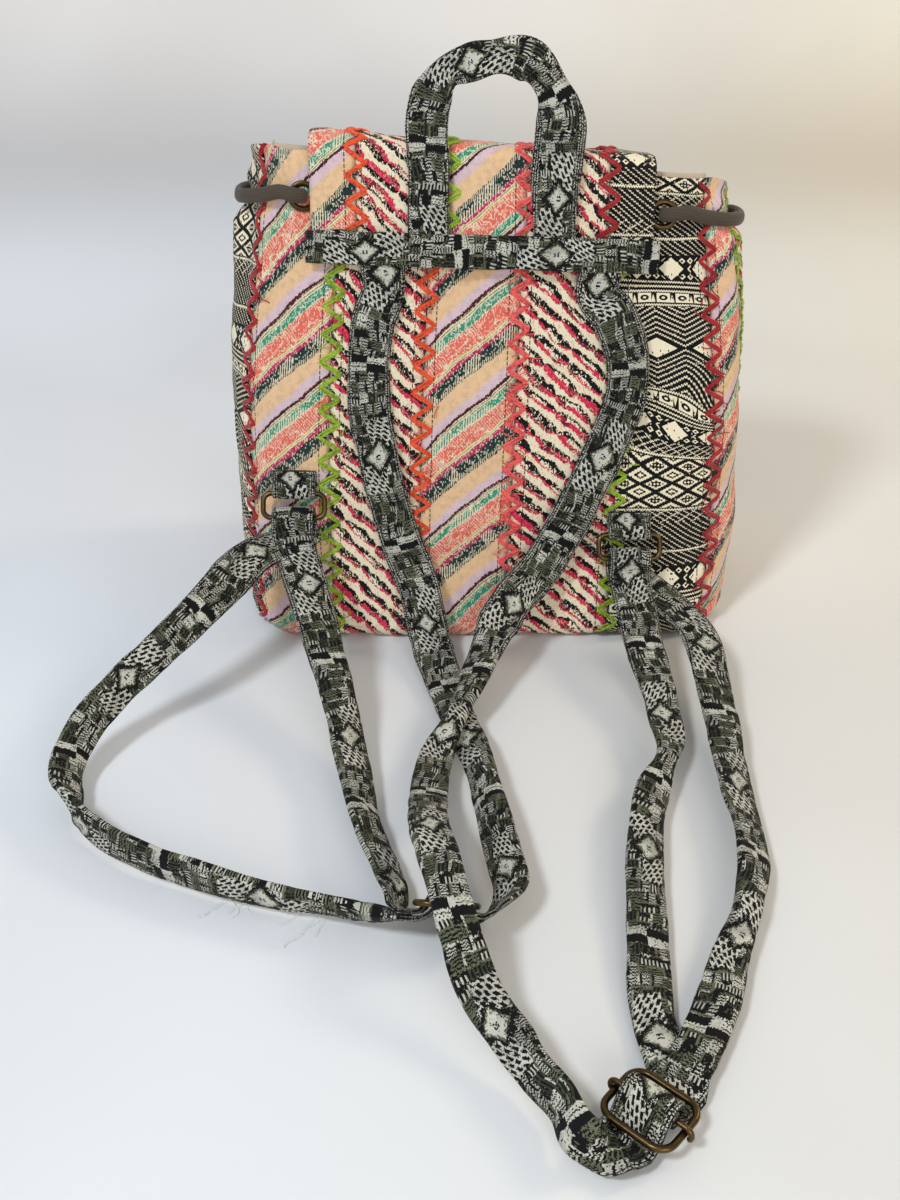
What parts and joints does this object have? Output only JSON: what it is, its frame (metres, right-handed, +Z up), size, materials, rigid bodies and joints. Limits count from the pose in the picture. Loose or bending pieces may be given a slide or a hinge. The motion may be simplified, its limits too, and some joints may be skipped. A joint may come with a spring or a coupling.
{
  "type": "backpack",
  "caption": "Small soft patchwork backpack with a drawstring mouth, a flap with a hidden snap, a top handle and two adjustable shoulder straps laid out behind it.",
  "frame": {"origin": "centre of the base, on the floor it stands on", "axes": "+Z up, -Y out of the panel worn against the back, +X to the right as seen from that side"},
  "size_m": [0.3286, 0.4627, 0.2898],
  "materials": {
    "stripe_cloth": "woven diagonal stripes",
    "dash_cloth": "woven slanting dashes",
    "ikat_cloth": "woven black and cream figures",
    "tapestry_webbing": "folded tapestry cloth",
    "lining_cloth": "plain weave",
    "antique_brass": "antiqued",
    "cord": "smooth woven cord",
    "snap_steel": "plated"
  },
  "bodies": {
    "bag": {"body_strip_01_dash": "dash_cloth", "body_strip_02_stripe": "stripe_cloth", "body_strip_03_dash": "dash_cloth", "body_strip_04_ikat": "ikat_cloth", "body_strip_05_stripe": "stripe_cloth", "body_strip_06_dash": "dash_cloth", "body_strip_07_stripe": "stripe_cloth", "body_strip_08_dash": "dash_cloth", "body_strip_09_ikat": "ikat_cloth", "body_strip_10_stripe": "stripe_cloth", "body_strip_11_dash": "dash_cloth", "body_strip_12_stripe": "stripe_cloth", "body_strip_13_dash": "dash_cloth", "body_strip_14_ikat": "ikat_cloth", "body_strip_15_stripe": "stripe_cloth", "base_panel": "stripe_cloth", "lining_bag": "lining_cloth", "flap_strip_1_stripe": "stripe_cloth", "flap_strip_2_dash": "dash_cloth", "flap_strip_3_stripe": "stripe_cloth", "flap_strip_4_dash": "dash_cloth", "flap_strip_5_ikat": "ikat_cloth", "flap_lining": "lining_cloth", "anchor_band": "tapestry_webbing", "top_handle": "tapestry_webbing", "left_shoulder_strap": "tapestry_webbing", "right_shoulder_strap": "tapestry_webbing", "left_ring_tab": "tapestry_webbing", "right_ring_tab": "tapestry_webbing", "left_slider_frame": "antique_brass", "left_slider_bar": "antique_brass", "right_slider_frame": "antique_brass", "right_slider_bar": "antique_brass", "eyelet_rear_left": "antique_brass", "eyelet_rear_right": "antique_brass", "eyelet_side_left": "antique_brass", "eyelet_side_right": "antique_brass", "eyelet_front_left": "antique_brass", "eyelet_front_right": "antique_brass", "eyelet_washer_rear_left": "antique_brass", "eyelet_washer_rear_right": "antique_brass", "eyelet_washer_side_left": "antique_brass", "eyelet_washer_side_right": "antique_brass", "eyelet_washer_front_left": "antique_brass", "eyelet_washer_front_right": "antique_brass", "drawstring": "cord", "snap_socket": "snap_steel", "snap_stud": "snap_steel"},
    "left_ring": {"left_ring": "antique_brass"},
    "right_ring": {"right_ring": "antique_brass"}
  },
  "joints": [
    {"name": "left_ring_swing", "type": "hinge", "parent": "bag", "child": "left_ring", "pos_m": [-0.09869, -0.04994, 0.07932], "axis": [0.9993, -0.036, 0.0069], "range_deg": [-10, 10]},
    {"name": "right_ring_swing", "type": "hinge", "parent": "bag", "child": "right_ring", "pos_m": [0.07209, -0.05451, 0.05808], "axis": [0.9998, 0.0178, -0.0031], "range_deg": [-10, 10]}
  ]
}
